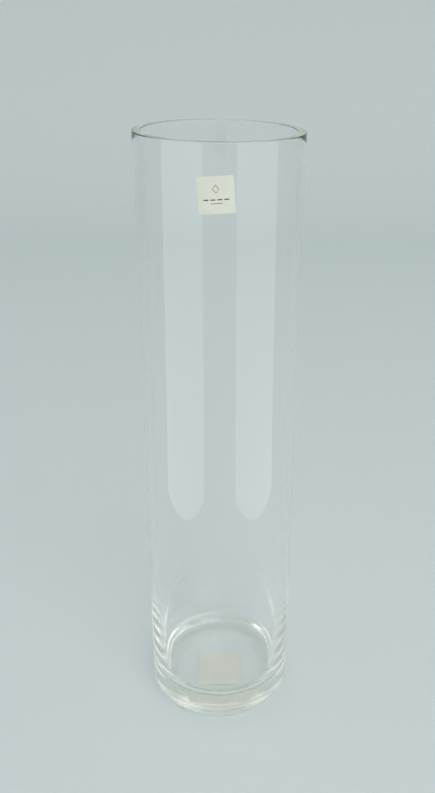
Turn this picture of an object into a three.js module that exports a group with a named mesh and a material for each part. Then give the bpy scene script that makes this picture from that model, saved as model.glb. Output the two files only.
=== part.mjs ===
// Tall glass cylinder vase with two paper stickers, as florists use it.
//
// Millimetres, +Z up. The origin is the centre of the underside, on the surface the vase stands on.
// -Y is the front, where the upper sticker is; +X is to its right.
//
// The vase is one piece of soda-lime glass: a thick base, slightly hollow underneath, a wall that is
// straight outside and thickens a little towards the base inside, and a flat rim with rounded edges.
// Each sticker is a paper face on its own film of adhesive.

import * as THREE from 'three';

// ---- Driving dimensions ----

const HEIGHT = 400;
const OUTER_DIAMETER = 100;
const WALL = 5;

const HEEL_RADIUS = 8; // outer edge of the base
const FLOOR_HEIGHT = 16; // top of the solid base, inside
const FILLET_WIDTH = 7; // inner corner between floor and wall, a quarter of an ellipse
const FILLET_HEIGHT = 14;
const TAPER_WIDTH = 2; // how much the wall thickens towards the fillet
const TAPER_TOP = 95; // where it starts to thicken
const RIM_CORNER = 0.6; // rounding of both edges of the rim

const RECESS_DEPTH = 0.6; // shallow hollow under the base
const RECESS_RADIUS = 27; // flat inside this, then it eases down to the foot
const FOOT_INNER_RADIUS = 39; // the flat ring the vase stands on runs from here to the heel

const PAPER_THICKNESS = 0.2;
const ADHESIVE_THICKNESS = 0.1;

const FRONT_LABEL_SIDE = 20;
const FRONT_LABEL_HEIGHT = 372.9; // centre above the table
const FRONT_LABEL_SHIFT = -1.9; // along the wall, towards -X
const FRONT_LABEL_TILT = THREE.MathUtils.degToRad(4.2); // it was stuck on by hand, slightly crooked
const FRONT_LABEL_GAP = 0.03; // between glass and adhesive, and adhesive and paper: clears their facets

const BASE_LABEL_SIDE = 33;
const BASE_LABEL_SHIFT = -4.4; // along Y
const BASE_LABEL_TURN = THREE.MathUtils.degToRad(-1.2);

// ---- Fineness of the curved surfaces ----

const WALL_FACETS = 72;
const HEEL_STEPS = 6;
const RIM_STEPS = 4;
const FILLET_STEPS = 7;
const TAPER_STEPS = 6;
const RECESS_STEPS = 6;
const LABEL_COLUMNS = 12;
const LABEL_ROWS = 6;

const OUTER_RADIUS = OUTER_DIAMETER / 2;
const INNER_RADIUS = OUTER_RADIUS - WALL;

const clearGlass = new THREE.MeshStandardMaterial({
  color: 0xdce4e0,
  roughness: 0.04,
  metalness: 0,
  transparent: true,
  opacity: 0.35,
});
const creamPaper = new THREE.MeshStandardMaterial({ color: 0xd9d8cd, roughness: 0.85, metalness: 0 });
const paleAdhesive = new THREE.MeshStandardMaterial({ color: 0xcbc8ba, roughness: 0.6, metalness: 0 });

/** Points of a circular arc in the (radius, height) plane, both ends included. Angles in degrees. */
function arc(centreRadius, centreHeight, radius, fromDegrees, toDegrees, steps) {
  return ellipse(centreRadius, centreHeight, radius, radius, fromDegrees, toDegrees, steps);
}

/** The same for an ellipse `width` and `height` from its centre to its edge. */
function ellipse(centreRadius, centreHeight, width, height, fromDegrees, toDegrees, steps) {
  return Array.from({ length: steps + 1 }, (_, step) => {
    const angle = THREE.MathUtils.degToRad(fromDegrees + ((toDegrees - fromDegrees) * step) / steps);
    return new THREE.Vector2(
      centreRadius + width * Math.cos(angle),
      centreHeight + height * Math.sin(angle),
    );
  });
}

/** The underside from the flat middle down to the foot, in an S curve. */
function recess() {
  return Array.from({ length: RECESS_STEPS + 1 }, (_, step) => new THREE.Vector2(
    RECESS_RADIUS + ((FOOT_INNER_RADIUS - RECESS_RADIUS) * step) / RECESS_STEPS,
    RECESS_DEPTH * (0.5 + 0.5 * Math.cos((Math.PI * step) / RECESS_STEPS)),
  ));
}

/** The inside of the wall where it thickens, from the top of the taper down to just above the fillet. */
function taper() {
  const bottom = FLOOR_HEIGHT + FILLET_HEIGHT;
  return Array.from({ length: TAPER_STEPS }, (_, step) => {
    const down = step / TAPER_STEPS;
    return new THREE.Vector2(
      INNER_RADIUS - TAPER_WIDTH * down ** 2,
      TAPER_TOP + (bottom - TAPER_TOP) * down,
    );
  });
}

/** Half section of the vase: out along the underside, up the wall, over the rim and down inside. */
function glassProfile() {
  const floorRadius = INNER_RADIUS - TAPER_WIDTH - FILLET_WIDTH;
  const filletCentre = FLOOR_HEIGHT + FILLET_HEIGHT;
  return [
    new THREE.Vector2(0, RECESS_DEPTH),
    ...recess(),
    ...arc(OUTER_RADIUS - HEEL_RADIUS, HEEL_RADIUS, HEEL_RADIUS, -90, 0, HEEL_STEPS),
    ...arc(OUTER_RADIUS - RIM_CORNER, HEIGHT - RIM_CORNER, RIM_CORNER, 0, 90, RIM_STEPS),
    ...arc(INNER_RADIUS + RIM_CORNER, HEIGHT - RIM_CORNER, RIM_CORNER, 90, 180, RIM_STEPS),
    ...taper(),
    ...ellipse(floorRadius, filletCentre, FILLET_WIDTH, FILLET_HEIGHT, 0, -90, FILLET_STEPS),
    new THREE.Vector2(0, FLOOR_HEIGHT),
  ];
}

/** The one piece of glass, turned about Z. */
function glassBody() {
  const geometry = new THREE.LatheGeometry(glassProfile(), WALL_FACETS);
  geometry.rotateX(Math.PI / 2);
  return geometry;
}

/**
 * One layer of the front sticker: a thin tilted square bent round the outside of the wall.
 * Its inner face lies `offset` outside the glass.
 */
function wrappedLayer(offset, thickness) {
  const geometry = new THREE.BoxGeometry(
    FRONT_LABEL_SIDE, thickness, FRONT_LABEL_SIDE,
    LABEL_COLUMNS, 1, LABEL_ROWS,
  );
  geometry.rotateY(-FRONT_LABEL_TILT);
  const position = geometry.attributes.position;
  for (let i = 0; i < position.count; i += 1) {
    const azimuth = (position.getX(i) + FRONT_LABEL_SHIFT) / OUTER_RADIUS;
    const isInnerFace = position.getY(i) > 0;
    const radius = OUTER_RADIUS + offset + (isInnerFace ? 0 : thickness);
    position.setXYZ(
      i,
      radius * Math.sin(azimuth),
      -radius * Math.cos(azimuth),
      FRONT_LABEL_HEIGHT + position.getZ(i),
    );
  }
  return geometry;
}

/** One layer of the sticker under the base, with its upper face at the height `top`. */
function flatLayer(top, thickness) {
  const geometry = new THREE.BoxGeometry(BASE_LABEL_SIDE, BASE_LABEL_SIDE, thickness);
  geometry.rotateZ(BASE_LABEL_TURN);
  geometry.translate(0, BASE_LABEL_SHIFT, top - thickness / 2);
  return geometry;
}

const vase = new THREE.Group();

function addPiece(name, geometry, material) {
  const mesh = new THREE.Mesh(geometry, material.clone());
  mesh.name = name;
  vase.add(mesh);
}

addPiece('glass_body', glassBody(), clearGlass);

const adhesiveOffset = FRONT_LABEL_GAP;
const paperOffset = adhesiveOffset + ADHESIVE_THICKNESS + FRONT_LABEL_GAP;
addPiece('front_label_adhesive', wrappedLayer(adhesiveOffset, ADHESIVE_THICKNESS), paleAdhesive);
addPiece('front_label', wrappedLayer(paperOffset, PAPER_THICKNESS), creamPaper);

addPiece('base_label_adhesive', flatLayer(RECESS_DEPTH, ADHESIVE_THICKNESS), paleAdhesive);
addPiece('base_label', flatLayer(RECESS_DEPTH - ADHESIVE_THICKNESS, PAPER_THICKNESS), creamPaper);

export default vase;
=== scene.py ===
"""Looks of the tall glass cylinder vase: fine glass, paper stickers, pale studio.

Metres, +Z up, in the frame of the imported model. -Y is the front.
"""

import math

import bmesh
import bpy
from mathutils import Matrix, Vector, noise


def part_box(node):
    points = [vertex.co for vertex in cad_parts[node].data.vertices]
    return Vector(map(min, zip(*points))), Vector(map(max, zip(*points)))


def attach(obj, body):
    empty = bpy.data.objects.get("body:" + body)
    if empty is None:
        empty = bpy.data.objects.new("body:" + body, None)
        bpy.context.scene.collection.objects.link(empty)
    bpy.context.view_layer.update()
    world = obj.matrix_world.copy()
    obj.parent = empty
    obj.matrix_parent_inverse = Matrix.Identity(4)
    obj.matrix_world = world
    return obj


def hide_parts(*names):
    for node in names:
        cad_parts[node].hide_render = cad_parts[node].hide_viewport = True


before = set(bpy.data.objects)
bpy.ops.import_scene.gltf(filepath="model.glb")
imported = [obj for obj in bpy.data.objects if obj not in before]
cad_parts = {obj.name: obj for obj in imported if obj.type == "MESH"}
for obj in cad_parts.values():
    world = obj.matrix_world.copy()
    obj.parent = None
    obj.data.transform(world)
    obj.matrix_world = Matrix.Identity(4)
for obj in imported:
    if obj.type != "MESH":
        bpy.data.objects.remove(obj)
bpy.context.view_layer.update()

MM = 0.001
TOUCHING = 1e-9

# ---- The vase, from the frame ----

glass_low, glass_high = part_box("glass_body")
OUTER_RADIUS = (glass_high.x - glass_low.x) / 2
HEIGHT = glass_high.z

# ---- Sizes of the glass that its box doesn't give, as in the CAD model ----

WALL = 5 * MM
RIM_CORNER = 0.6 * MM
INNER_RADIUS = OUTER_RADIUS - WALL
HEEL_RADIUS = 8 * MM
FLOOR_HEIGHT = 16 * MM
FILLET_WIDTH = 7 * MM
FILLET_HEIGHT = 14 * MM
TAPER_WIDTH = 2 * MM
TAPER_TOP = 95 * MM
RECESS_DEPTH = 0.6 * MM
RECESS_RADIUS = 27 * MM
FOOT_INNER_RADIUS = 39 * MM

# ---- Fineness of the turned glass ----

GLASS_SEGMENTS = 256
WALL_RINGS = 48
TAPER_RINGS = 30
FILLET_RINGS = 24
HEEL_RINGS = 24
LIP_RINGS = 14
STEP_RINGS = 16
RECESS_RINGS = 8
FOOT_RINGS = 3
FLOOR_RINGS = 10

# ---- How far the blown inside of the wall strays from a true cylinder ----

WAVE_DEPTH = 0.02 * MM
WAVE_SPREAD = 2.2  # radius, in the noise's own units, of the circle walked once per turn
WAVE_START = 7.0
WAVE_LENGTH = 90 * MM


# ---------------------------------------------------------------- helpers


def ellipse(centre_r, centre_z, width, height, start, stop, steps):
    """Points (r, z) on an arc of an ellipse, both ends included. Angles in degrees."""
    angles = [math.radians(start + (stop - start) * i / steps) for i in range(steps + 1)]
    return [(centre_r + width * math.cos(a), centre_z + height * math.sin(a)) for a in angles]


def arc(centre_r, centre_z, radius, start, stop, steps):
    return ellipse(centre_r, centre_z, radius, radius, start, stop, steps)


def straight(start, stop, steps):
    """Points strictly between two (r, z) points, evenly spaced."""
    return [
        (start[0] + (stop[0] - start[0]) * i / steps, start[1] + (stop[1] - start[1]) * i / steps)
        for i in range(1, steps)
    ]


def mesh_object(name, bm, material):
    """A smooth-shaded object made from the bmesh, which is used up."""
    mesh = bpy.data.meshes.new(name)
    bm.normal_update()
    bm.to_mesh(mesh)
    bm.free()
    mesh.polygons.foreach_set("use_smooth", [True] * len(mesh.polygons))
    obj = bpy.data.objects.new(name, mesh)
    bpy.context.scene.collection.objects.link(obj)
    mesh.materials.append(material)
    return obj


def new_material(name):
    """A material with nothing but its output node; returns it and its node tree."""
    material = bpy.data.materials.new(name)
    material.use_nodes = True
    tree = material.node_tree
    tree.nodes.clear()
    tree.nodes.new("ShaderNodeOutputMaterial")
    return material, tree


def node(tree, kind, inputs=None, **settings):
    """A new node with its settings, and its inputs set to values or linked to sockets."""
    made = tree.nodes.new(kind)
    for key, value in settings.items():
        setattr(made, key, value)
    for key, value in (inputs or {}).items():
        if isinstance(value, bpy.types.NodeSocket):
            tree.links.new(value, made.inputs[key])
        else:
            made.inputs[key].default_value = value
    return made


# ---------------------------------------------------------------- glass


def glass_profile():
    """Half section of the vase as (r, z), from the axis underneath to the axis inside."""
    underside = [(RECESS_RADIUS * i / RECESS_RINGS, RECESS_DEPTH) for i in range(1, RECESS_RINGS)]
    step = [
        (RECESS_RADIUS + (FOOT_INNER_RADIUS - RECESS_RADIUS) * i / STEP_RINGS,
         RECESS_DEPTH * (0.5 + 0.5 * math.cos(math.pi * i / STEP_RINGS)))
        for i in range(STEP_RINGS + 1)
    ]
    foot = straight((FOOT_INNER_RADIUS, 0), (OUTER_RADIUS - HEEL_RADIUS, 0), FOOT_RINGS)
    heel = arc(OUTER_RADIUS - HEEL_RADIUS, HEEL_RADIUS, HEEL_RADIUS, -90, 0, HEEL_RINGS)
    outside = straight(heel[-1], (OUTER_RADIUS, HEIGHT - RIM_CORNER), WALL_RINGS)
    lip = arc(OUTER_RADIUS - RIM_CORNER, HEIGHT - RIM_CORNER, RIM_CORNER, 0, 90, LIP_RINGS)
    lip += arc(INNER_RADIUS + RIM_CORNER, HEIGHT - RIM_CORNER, RIM_CORNER, 90, 180, LIP_RINGS)
    floor_radius = INNER_RADIUS - TAPER_WIDTH - FILLET_WIDTH
    fillet_top = FLOOR_HEIGHT + FILLET_HEIGHT
    taper = [
        (INNER_RADIUS - TAPER_WIDTH * (i / TAPER_RINGS) ** 2,
         TAPER_TOP + (fillet_top - TAPER_TOP) * i / TAPER_RINGS)
        for i in range(TAPER_RINGS)
    ]
    inside = straight(lip[-1], taper[0], WALL_RINGS)
    fillet = ellipse(floor_radius, fillet_top, FILLET_WIDTH, FILLET_HEIGHT, 0, -90, FILLET_RINGS)
    floor = straight(fillet[-1], (0, FLOOR_HEIGHT), FLOOR_RINGS)
    return underside + step + foot + heel + outside + lip + inside + taper + fillet + floor


def wall_wave(angle, height):
    """How far the inside of the wall strays there, from -1 to 1."""
    x, y = WAVE_SPREAD * math.cos(angle), WAVE_SPREAD * math.sin(angle) + WAVE_START
    return noise.noise((x, y, height / WAVE_LENGTH))


def glass_body():
    """The half section turned about the axis, its inside a little wavy above the thickened wall."""
    profile = glass_profile()
    bm = bmesh.new()
    bottom = bm.verts.new((0, 0, RECESS_DEPTH))
    top = bm.verts.new((0, 0, FLOOR_HEIGHT))
    rings = []
    for r, z in profile:
        wavy = r <= INNER_RADIUS + TOUCHING and z > TAPER_TOP
        ring = []
        for s in range(GLASS_SEGMENTS):
            angle = 2 * math.pi * s / GLASS_SEGMENTS
            radius = r + (WAVE_DEPTH * wall_wave(angle, z) if wavy else 0)
            ring.append(bm.verts.new((radius * math.cos(angle), radius * math.sin(angle), z)))
        rings.append(ring)
    for s in range(GLASS_SEGMENTS):
        t = (s + 1) % GLASS_SEGMENTS
        bm.faces.new((bottom, rings[0][t], rings[0][s]))
        bm.faces.new((top, rings[-1][s], rings[-1][t]))
        for low, high in zip(rings, rings[1:]):
            bm.faces.new((low[s], low[t], high[t], high[s]))
    return mesh_object("vase_glass", bm, clear_glass())


GLASS_IOR = 1.52
GLASS_TINT = (0.82, 0.86, 0.72)
TINT_DENSITY = 2.5
SMEAR_ROUGHNESS = 0.035
# The glass is wavy and hazy up to the first height of each pair, and nearly even and clear from the second
WAVY_BELOW, EVEN_ABOVE = 10 * MM, 30 * MM
BASE_RIPPLE, WALL_RIPPLE = 0.16, 0.02
RIPPLE_HEIGHT = 0.5 * MM
HAZY_BELOW, CLEAR_ABOVE = 20 * MM, 30 * MM
BASE_HAZE = 0.08


def clear_glass():
    """Clear soda-lime glass: a faint olive tint that shows where the glass is thick, and light smears."""
    material, tree = new_material("clear glass")
    place = node(tree, "ShaderNodeTexCoord").outputs["Object"]
    smears = node(tree, "ShaderNodeTexNoise", {"Vector": place, "Scale": 22.0, "Detail": 4.0})
    roughness = node(tree, "ShaderNodeMapRange", {
        "Value": smears.outputs["Fac"], "From Min": 0.45, "From Max": 0.8, "To Max": SMEAR_ROUGHNESS,
    })
    ripple = node(tree, "ShaderNodeTexNoise", {"Vector": place, "Scale": 35.0, "Detail": 1.0})
    height = node(tree, "ShaderNodeSeparateXYZ", {0: place}).outputs["Z"]
    waviness = node(tree, "ShaderNodeMapRange", {
        "Value": height, "From Min": WAVY_BELOW, "From Max": EVEN_ABOVE,
        "To Min": BASE_RIPPLE, "To Max": WALL_RIPPLE,
    })
    bump = node(tree, "ShaderNodeBump", {
        "Height": ripple.outputs["Fac"], "Strength": waviness.outputs["Result"], "Distance": RIPPLE_HEIGHT,
    })
    haze = node(tree, "ShaderNodeMapRange", {
        "Value": height, "From Min": HAZY_BELOW, "From Max": CLEAR_ABOVE, "To Min": BASE_HAZE, "To Max": 0.0,
    })
    dullness = node(tree, "ShaderNodeMath", {0: roughness.outputs["Result"], 1: haze.outputs["Result"]})
    surface = node(tree, "ShaderNodeBsdfPrincipled", {
        "Base Color": (1, 1, 1, 1), "Roughness": dullness.outputs[0],
        "Normal": bump.outputs["Normal"], "IOR": GLASS_IOR, "Transmission Weight": 1.0,
    })
    volume = node(tree, "ShaderNodeVolumeAbsorption", {
        "Color": (*GLASS_TINT, 1), "Density": TINT_DENSITY,
    })
    output = tree.nodes["Material Output"]
    tree.links.new(surface.outputs["BSDF"], output.inputs["Surface"])
    tree.links.new(volume.outputs["Volume"], output.inputs["Volume"])
    return material


# ---------------------------------------------------------------- stickers

FRONT_SIDE = 20 * MM
FRONT_SHIFT = -1.9 * MM
FRONT_HEIGHT = 372.9 * MM
FRONT_TILT = math.radians(4.2)
BASE_SIDE = 33 * MM
BASE_SHIFT = -4.4 * MM
BASE_TURN = math.radians(-1.2)
CORNER = 0.8 * MM
ADHESIVE_THICKNESS = 0.1 * MM
PAPER_THICKNESS = 0.2 * MM
PAPER_TOP = ADHESIVE_THICKNESS + PAPER_THICKNESS
WETTING = 0.02 * MM  # how far the adhesive sits into the glass, so that no air is left between them
INK_THICKNESS = 0.012 * MM
SHEET_CELL = 0.8 * MM


def square_outline(side, corner, steps=5):
    """Points round a square with rounded corners, centred on the origin."""
    half = side / 2 - corner
    centres = [(half, half), (-half, half), (-half, -half), (half, -half)]
    return [
        (cx + corner * math.cos(math.radians(90 * quarter + 90 * i / steps)),
         cy + corner * math.sin(math.radians(90 * quarter + 90 * i / steps)))
        for quarter, (cx, cy) in enumerate(centres)
        for i in range(steps + 1)
    ]


def on_wall(u, v, lift):
    """The place u to the right and v up from the middle of the front sticker, `lift` outside the glass."""
    x = u * math.cos(FRONT_TILT) - v * math.sin(FRONT_TILT)
    z = u * math.sin(FRONT_TILT) + v * math.cos(FRONT_TILT)
    azimuth = (x + FRONT_SHIFT) / OUTER_RADIUS
    radius = OUTER_RADIUS + lift
    return radius * math.sin(azimuth), -radius * math.cos(azimuth), FRONT_HEIGHT + z


def under_floor(u, v, lift):
    """The same for the base sticker, `lift` below the recess."""
    x = u * math.cos(BASE_TURN) - v * math.sin(BASE_TURN)
    y = u * math.sin(BASE_TURN) + v * math.cos(BASE_TURN)
    return x, y + BASE_SHIFT, RECESS_DEPTH - lift


def sheet(bm, outline, place, low, high):
    """A closed thin sheet between two lifts, cut into a fine grid so that it follows the wall."""
    flat = bmesh.new()
    flat.faces.new([flat.verts.new((u, v, 0)) for u, v in outline])
    for axis in (0, 1):
        low_edge, high_edge = min(p[axis] for p in outline), max(p[axis] for p in outline)
        cells = math.ceil((high_edge - low_edge) / SHEET_CELL)
        for i in range(1, cells):
            cut = low_edge + (high_edge - low_edge) * i / cells
            normal = (1, 0, 0) if axis == 0 else (0, 1, 0)
            through = [cut * n for n in normal]
            everything = flat.verts[:] + flat.edges[:] + flat.faces[:]
            bmesh.ops.bisect_plane(flat, geom=everything, plane_co=through, plane_no=normal)
    flat.verts.index_update()
    below = [bm.verts.new(place(v.co.x, v.co.y, low)) for v in flat.verts]
    above = [bm.verts.new(place(v.co.x, v.co.y, high)) for v in flat.verts]
    for face in flat.faces:
        corners = [v.index for v in face.verts]
        bm.faces.new([above[i] for i in corners])
        bm.faces.new([below[i] for i in reversed(corners)])
    for edge in flat.edges:
        if edge.is_boundary:
            loop = edge.link_loops[0]
            a, b = loop.vert.index, loop.link_loop_next.vert.index
            bm.faces.new((below[a], below[b], above[b], above[a]))
    flat.free()


def sticker_layer(name, side, place, low, high, material):
    """One flat-shaded layer of a sticker, its two faces at the given lifts."""
    bm = bmesh.new()
    sheet(bm, square_outline(side, CORNER), place, low, high)
    bmesh.ops.recalc_face_normals(bm, faces=bm.faces)
    layer = mesh_object(name, bm, material)
    layer.data.polygons.foreach_set("use_smooth", [False] * len(layer.data.polygons))
    return layer


# The printed mark, from the middle of the front sticker
DIAMOND_UP = 3.2 * MM
DIAMOND_OUTER, DIAMOND_INNER = 2.3 * MM, 1.95 * MM
DIAMOND_SLIMNESS = 0.8
BARS = 4
BAR_PITCH = 3.7 * MM
BAR_HALF = 1.3 * MM
BAR_LOW, BAR_HIGH = -2.75 * MM, -2.15 * MM
RULE_HALF = 3.2 * MM
RULE_LOW, RULE_HIGH = -4.6 * MM, -4.3 * MM


def bar(middle, half, low, high):
    return [(middle - half, low), (middle + half, low), (middle + half, high), (middle - half, high)]


def printed_marks():
    """A plain diamond outline over a row of bars and one short rule."""
    tips = [(DIAMOND_SLIMNESS, 0), (0, 1), (-DIAMOND_SLIMNESS, 0), (0, -1)]
    marks = []
    for (ax, ay), (bx, by) in zip(tips, tips[1:] + tips[:1]):
        corners = [
            (ax, ay, DIAMOND_INNER), (ax, ay, DIAMOND_OUTER),
            (bx, by, DIAMOND_OUTER), (bx, by, DIAMOND_INNER),
        ]
        marks.append([(x * reach, DIAMOND_UP + y * reach) for x, y, reach in corners])
    for i in range(BARS):
        marks.append(bar((i - (BARS - 1) / 2) * BAR_PITCH, BAR_HALF, BAR_LOW, BAR_HIGH))
    marks.append(bar(0, RULE_HALF, RULE_LOW, RULE_HIGH))
    return marks


def front_print(material):
    """The mark as thin ink, half sunk into the paper."""
    bm = bmesh.new()
    for outline in printed_marks():
        sheet(bm, outline, on_wall, PAPER_TOP - INK_THICKNESS, PAPER_TOP + INK_THICKNESS)
    bmesh.ops.recalc_face_normals(bm, faces=bm.faces)
    return mesh_object("front_sticker_print", bm, material)


# A Mix node has sockets for each type of data; these are the ones for colours
MIX_A, MIX_B, MIX_RESULT = 6, 7, 2


def grained(name, colour, shade, roughness, grain, grain_depth):
    """A matt surface whose colour drifts between two tones over a fine grain."""
    material, tree = new_material(name)
    place = node(tree, "ShaderNodeTexCoord").outputs["Object"]
    clouds = node(tree, "ShaderNodeTexNoise", {"Vector": place, "Scale": 130.0, "Detail": 5.0})
    fibres = node(tree, "ShaderNodeTexNoise", {
        "Vector": place, "Scale": grain, "Detail": 3.0, "Roughness": 0.7,
    })
    mixed = node(tree, "ShaderNodeMath", {
        0: clouds.outputs["Fac"], 1: fibres.outputs["Fac"],
    }, operation="MULTIPLY")
    spread = node(tree, "ShaderNodeMapRange", {"Value": mixed.outputs[0], "From Min": 0.12, "From Max": 0.42})
    tone = node(tree, "ShaderNodeMix", {
        "Factor": spread.outputs["Result"], MIX_A: (*shade, 1), MIX_B: (*colour, 1),
    }, data_type="RGBA")
    bump = node(tree, "ShaderNodeBump", {
        "Height": fibres.outputs["Fac"], "Strength": 0.35, "Distance": grain_depth,
    })
    surface = node(tree, "ShaderNodeBsdfPrincipled", {
        "Base Color": tone.outputs[MIX_RESULT], "Roughness": roughness, "Normal": bump.outputs["Normal"],
    })
    tree.links.new(surface.outputs["BSDF"], tree.nodes["Material Output"].inputs["Surface"])
    return material


def front_sticker():
    glue = grained("pale adhesive", (0.74, 0.74, 0.68), (0.68, 0.68, 0.62), 0.45, 900.0, 0.02 * MM)
    paper = grained("cream paper", (0.79, 0.795, 0.705), (0.72, 0.725, 0.635), 0.62, 1500.0, 0.04 * MM)
    ink = grained("black ink", (0.02, 0.02, 0.018), (0.045, 0.045, 0.04), 0.4, 1500.0, 0.01 * MM)
    adhesive = sticker_layer(
        "front_sticker_adhesive", FRONT_SIDE, on_wall, -WETTING, ADHESIVE_THICKNESS, glue)
    face = sticker_layer("front_sticker_paper", FRONT_SIDE, on_wall, ADHESIVE_THICKNESS, PAPER_TOP, paper)
    return adhesive, face, front_print(ink), glue, paper


def base_sticker(glue, paper):
    adhesive = sticker_layer(
        "base_sticker_adhesive", BASE_SIDE, under_floor, -WETTING, ADHESIVE_THICKNESS, glue)
    face = sticker_layer("base_sticker_paper", BASE_SIDE, under_floor, ADHESIVE_THICKNESS, PAPER_TOP, paper)
    return adhesive, face


# ---------------------------------------------------------------- studio

FLOOR_COLOUR = (0.628, 0.695, 0.700)
FLOOR_DROP = 0.1 * MM  # so that the foot of the glass and the studio paper don't share a plane
FLOOR_REACH = 8.0  # to each side, and to the front
SWEEP_START = 1.3
SWEEP_RADIUS = 0.7
SWEEP_TOP = 3.0
SWEEP_STEPS = 16


def pale_paper():
    """Matt seamless paper of one even tone."""
    material, tree = new_material("studio paper")
    surface = node(tree, "ShaderNodeBsdfPrincipled", {
        "Base Color": (*FLOOR_COLOUR, 1), "Roughness": 0.9, "Specular IOR Level": 0.2,
    })
    tree.links.new(surface.outputs["BSDF"], tree.nodes["Material Output"].inputs["Surface"])
    return material


def studio_floor():
    """A wide sheet of pale paper: flat under the vase, swept up far behind it."""
    line = [(-FLOOR_REACH, -FLOOR_DROP), (SWEEP_START, -FLOOR_DROP)]
    line += [
        (SWEEP_START + SWEEP_RADIUS * math.sin(a), SWEEP_RADIUS * (1 - math.cos(a)))
        for a in (math.pi / 2 * i / SWEEP_STEPS for i in range(1, SWEEP_STEPS + 1))
    ]
    line.append((SWEEP_START + SWEEP_RADIUS, SWEEP_TOP))
    bm = bmesh.new()
    edges = [(bm.verts.new((-FLOOR_REACH, y, z)), bm.verts.new((FLOOR_REACH, y, z))) for y, z in line]
    for (a, b), (c, d) in zip(edges, edges[1:]):
        bm.faces.new((a, b, d, c))
    floor = mesh_object("studio_floor", bm, pale_paper())


# ---- Two plain bright cards, low in front of the vase, that only reflections show ----

CARD_HEIGHT = 2 * MM
CARD_NEAR, CARD_FAR = 0.34, 7.5
CARD_INNER, CARD_OUTER = math.radians(22), math.radians(80)  # to either side of straight ahead
CARD_GLOW = (1.7, 1.8, 1.77)


def reflection_card(name, side, material):
    """A flat card between two directions and two distances from the vase."""
    bm = bmesh.new()
    outline = [
        (CARD_INNER, CARD_NEAR), (CARD_INNER, CARD_FAR), (CARD_OUTER, CARD_FAR), (CARD_OUTER, CARD_NEAR),
    ]
    bm.faces.new([
        bm.verts.new((side * distance * math.sin(angle), -distance * math.cos(angle), CARD_HEIGHT))
        for angle, distance in outline
    ])
    card = mesh_object(name, bm, material)
    card.visible_camera = card.visible_diffuse = False
    card.visible_transmission = card.visible_shadow = False


def reflections():
    """The two cards, one to each side; nothing is lit by them directly."""
    material, tree = new_material("soft card")
    glow = node(tree, "ShaderNodeEmission", {"Color": (*CARD_GLOW, 1)})
    tree.links.new(glow.outputs[0], tree.nodes["Material Output"].inputs["Surface"])
    material.cycles.emission_sampling = "NONE"
    reflection_card("card_left", -1, material)
    reflection_card("card_right", 1, material)


def area_light(name, place, aim, size, watts):
    """A rectangular light at one place, facing another."""
    light = bpy.data.lights.new(name, "AREA")
    light.shape = "RECTANGLE"
    light.size, light.size_y = size
    light.energy = watts
    obj = bpy.data.objects.new(name, light)
    obj.location = place
    obj.rotation_euler = (Vector(aim) - Vector(place)).to_track_quat("-Z", "Y").to_euler()
    bpy.context.scene.collection.objects.link(obj)


ROOM = (0.775, 0.79, 0.78)
SOFTBOX_PLACE = (0.7, -1.6, 1.7)
SOFTBOX_AIM = (0, 0, 0.2)
SOFTBOX_SIZE = (1.6, 1.6)
SOFTBOX_WATTS = 14.0


def studio_light():
    """An evenly lit pale room and one wide softbox, above the camera and to the right."""
    world = bpy.data.worlds.new("studio")
    bpy.context.scene.world = world
    world.use_nodes = True
    world.node_tree.nodes["Background"].inputs["Color"].default_value = (*ROOM, 1)
    area_light("softbox", SOFTBOX_PLACE, SOFTBOX_AIM, SOFTBOX_SIZE, SOFTBOX_WATTS)


# ---------------------------------------------------------------- camera

# Fitted to the rim's ellipse, the two sides and the foot of the vase in the photograph
LENS = 38.54
SENSOR = 36.0
PITCH, YAW, ROLL = (math.radians(a) for a in (24.793, 3.145, 1.268))
CAMERA_DISTANCE = 5.044 * 2 * OUTER_RADIUS
CAMERA_HEIGHT = 4.6536 * 2 * OUTER_RADIUS
SHIFT_X = -0.0563
THROUGH_GLASS = 96  # bounces: light inside the thick base turns back many times
THROUGH_SHEETS = 16


def camera():
    """Looks down at the vase from in front, held slightly askew."""
    forward = Vector((math.sin(YAW) * math.cos(PITCH), math.cos(YAW) * math.cos(PITCH), -math.sin(PITCH)))
    right = Vector((math.cos(YAW), -math.sin(YAW), 0))
    up = right.cross(forward)
    right, up = (
        math.cos(ROLL) * right + math.sin(ROLL) * up,
        math.cos(ROLL) * up - math.sin(ROLL) * right,
    )
    data = bpy.data.cameras.new("camera")
    data.lens, data.sensor_width, data.shift_x = LENS, SENSOR, SHIFT_X
    obj = bpy.data.objects.new("camera", data)
    bpy.context.scene.collection.objects.link(obj)
    turned = Matrix((right, up, -forward)).transposed().to_4x4()
    obj.matrix_world = Matrix.Translation((0, -CAMERA_DISTANCE, CAMERA_HEIGHT)) @ turned
    bpy.context.scene.camera = obj


def picture_settings():
    scene = bpy.context.scene
    scene.view_settings.view_transform = "Standard"
    scene.cycles.max_bounces = THROUGH_GLASS
    scene.cycles.transmission_bounces = THROUGH_GLASS
    scene.cycles.glossy_bounces = THROUGH_GLASS
    scene.cycles.transparent_max_bounces = THROUGH_SHEETS
    scene.cycles.blur_glossy = 0.0


camera()
picture_settings()
studio_floor()
studio_light()
reflections()

vase = glass_body()
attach(vase, "root")
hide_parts("glass_body")

front_adhesive, front_paper, front_ink, glue, paper = front_sticker()
base_adhesive, base_paper = base_sticker(glue, paper)
for piece, node_name, slot in (
    (front_adhesive, "front_label_adhesive", "label_adhesive"),
    (front_paper, "front_label", "label_paper"),
    (base_adhesive, "base_label_adhesive", "label_adhesive"),
    (base_paper, "base_label", "label_paper"),
):
    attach(piece, "root")
    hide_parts(node_name)
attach(front_ink, "root")
